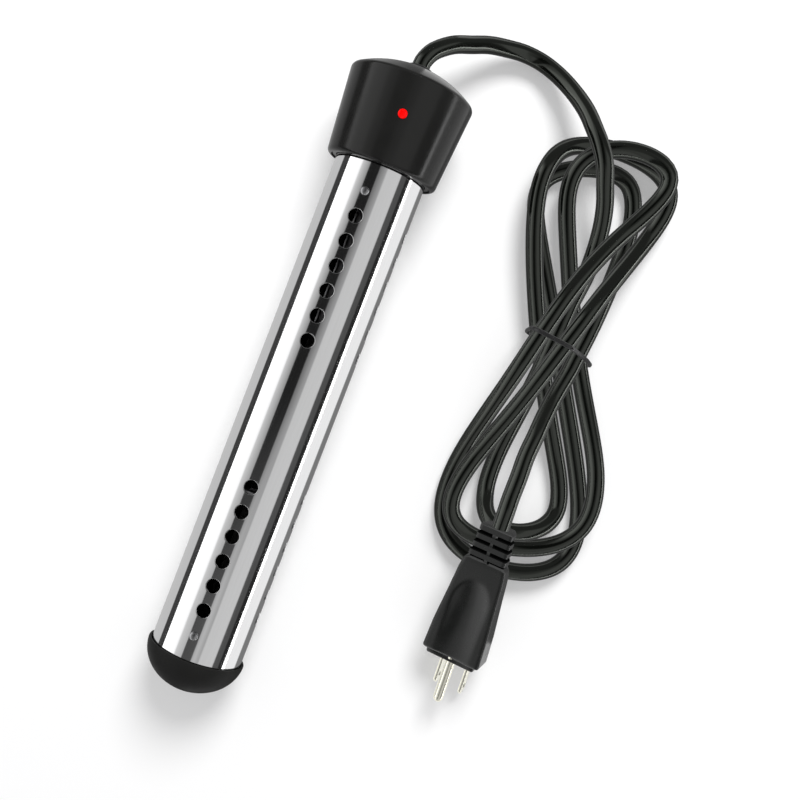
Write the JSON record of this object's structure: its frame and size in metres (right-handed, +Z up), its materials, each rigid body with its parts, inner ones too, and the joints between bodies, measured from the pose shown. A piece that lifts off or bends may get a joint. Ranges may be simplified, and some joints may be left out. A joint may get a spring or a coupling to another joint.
{
  "type": "submersible water heater",
  "caption": "Stick-shaped immersion water heater: perforated steel guard tube round a hairpin element, domed foot, moulded cap with lamp, mains cord in a tied hank, earthed plug.",
  "frame": {"origin": "centre of the heater's bounding box, on the plane the heater lies on, cord and plug left out", "axes": "+Y along the heater from the foot to the cap, +X towards the hank, +Z up"},
  "size_m": [0.1784, 0.3328, 0.0578],
  "materials": {
    "stainless": "polished, lengthwise reflections",
    "dull_steel": "plain",
    "element_sheath": "oxidised sheath",
    "brass": "plain",
    "copper": "copper, tinned in part",
    "cap_plastic": "fine moulded grain",
    "clamp_nylon": "natural nylon",
    "rubber": "satin cord jacket",
    "seal_rubber": "matt",
    "resin": "cast resin",
    "ceramic": "unglazed ceramic",
    "lamp_red": "clear red",
    "board": "solder resist",
    "switch_case": "moulded",
    "fuse_case": "ceramic case",
    "wire_black": "insulation",
    "wire_white": "insulation",
    "wire_green": "insulation",
    "plug_plastic": "moulded, satin",
    "pin_nickel": "nickel plate over brass",
    "tie_plastic": "plastic-covered wire"
  },
  "bodies": {
    "root": {"guard_tube": "stainless", "foot_cap": "cap_plastic", "header_plate": "dull_steel", "header_seal": "seal_rubber", "potting_disc": "resin", "foot_rivet_front": "stainless", "foot_rivet_back": "stainless", "top_rivet_front": "stainless", "top_rivet_back": "stainless", "heating_element": "element_sheath", "element_spacer_lower": "dull_steel", "element_spacer_upper": "dull_steel", "element_bush_left": "ceramic", "element_bush_right": "ceramic", "terminal_pin_left": "dull_steel", "terminal_pin_right": "dull_steel", "crimp_sleeve_left": "copper", "crimp_sleeve_right": "copper", "thermowell": "stainless", "thermostat_bulb": "copper", "capillary": "copper", "thermostat_switch": "switch_case", "thermal_fuse": "fuse_case", "earth_stud": "brass", "earth_lug": "copper", "earth_nut": "brass", "live_wire": "wire_black", "fuse_feed_wire": "wire_black", "fuse_link_wire": "wire_black", "neutral_wire": "wire_white", "earth_wire": "wire_green", "cap_base": "cap_plastic", "cap_shell": "cap_plastic", "cord_clamp": "clamp_nylon", "clamp_screw_left": "dull_steel", "clamp_screw_right": "dull_steel", "cord_bush": "rubber", "indicator_lens": "lamp_red", "indicator_led": "lamp_red", "lamp_board": "board", "cord_lead": "rubber", "cord_hank": "rubber", "plug_lead": "rubber", "cord_tie": "tie_plastic", "plug_body": "plug_plastic", "plug_insert": "plug_plastic", "plug_blade_left": "pin_nickel", "plug_blade_right": "pin_nickel", "plug_earth_pin": "pin_nickel"}
  },
  "joints": []
}
